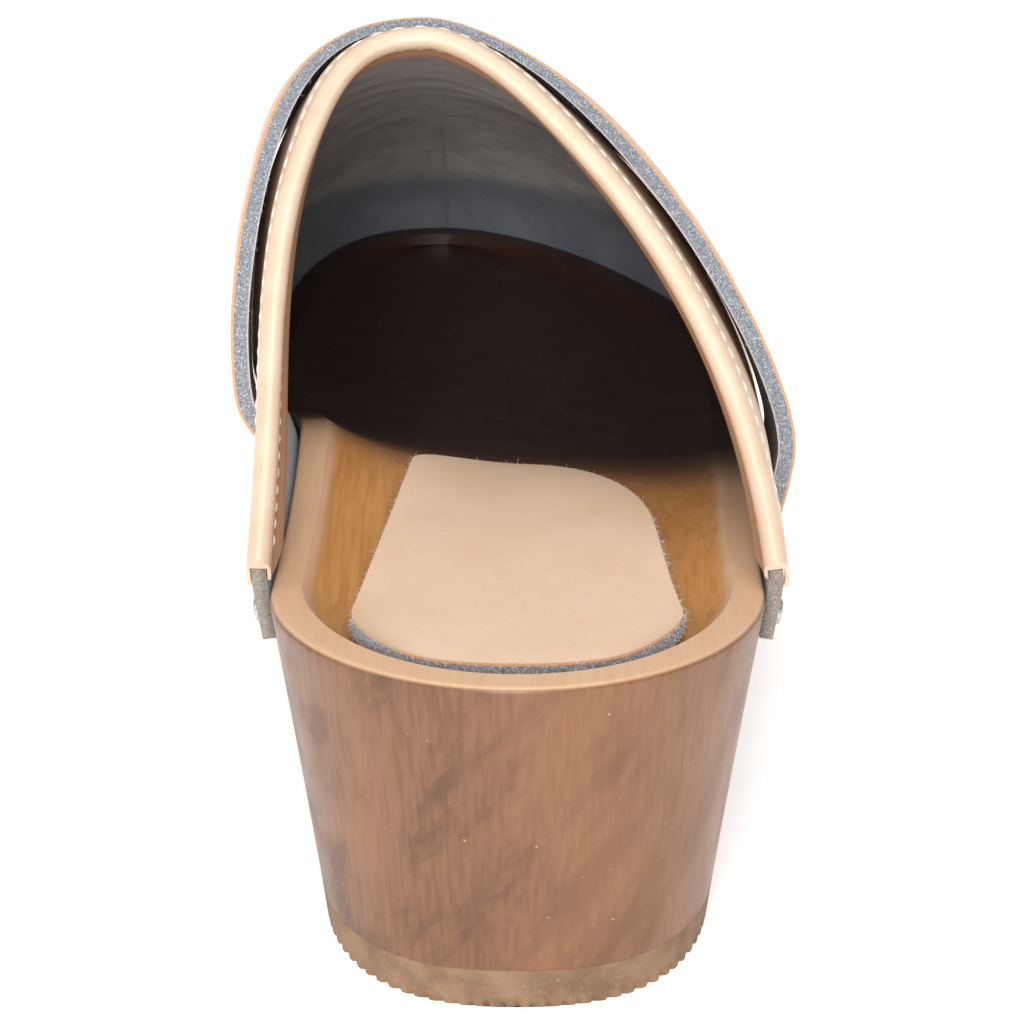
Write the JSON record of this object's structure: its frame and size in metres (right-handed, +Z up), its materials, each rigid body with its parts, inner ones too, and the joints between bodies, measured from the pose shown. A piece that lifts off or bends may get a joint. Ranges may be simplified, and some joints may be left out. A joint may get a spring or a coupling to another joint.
{
  "type": "open-back clog",
  "caption": "Right open-back clog: carved wooden sole with a block heel and rubber treads, leather upper nailed round its edge, rolled collar, instep strap and heel pad.",
  "frame": {"origin": "middle of the heel tread's underside, on the ground", "axes": "+Z up, +Y towards the toe, +X to the lateral side"},
  "size_m": [0.0887, 0.2383, 0.1021],
  "materials": {
    "wood": "sanded and oiled",
    "tread_rubber": "matte, finely rippled",
    "upper_leather": "smooth grain outside, grey suede inside",
    "binding_leather": "smooth, thin, folded",
    "strap_leather": "smooth grain, raw cut edge",
    "pad_leather": "smooth grain, raw cut edge",
    "nail_steel": "worn bright"
  },
  "bodies": {
    "root": {"wooden_sole": "wood", "heel_tread": "tread_rubber", "forefoot_tread": "tread_rubber", "upper": "upper_leather", "collar_binding": "binding_leather", "instep_strap": "strap_leather", "heel_pad": "pad_leather", "nail_01": "nail_steel", "nail_02": "nail_steel", "nail_03": "nail_steel", "nail_04": "nail_steel", "nail_05": "nail_steel", "nail_06": "nail_steel", "nail_07": "nail_steel", "nail_08": "nail_steel", "nail_09": "nail_steel", "nail_10": "nail_steel", "nail_11": "nail_steel", "nail_12": "nail_steel", "nail_13": "nail_steel", "nail_14": "nail_steel", "nail_15": "nail_steel", "nail_16": "nail_steel", "nail_17": "nail_steel", "nail_18": "nail_steel", "nail_19": "nail_steel", "nail_20": "nail_steel", "nail_21": "nail_steel", "nail_22": "nail_steel"}
  },
  "joints": []
}
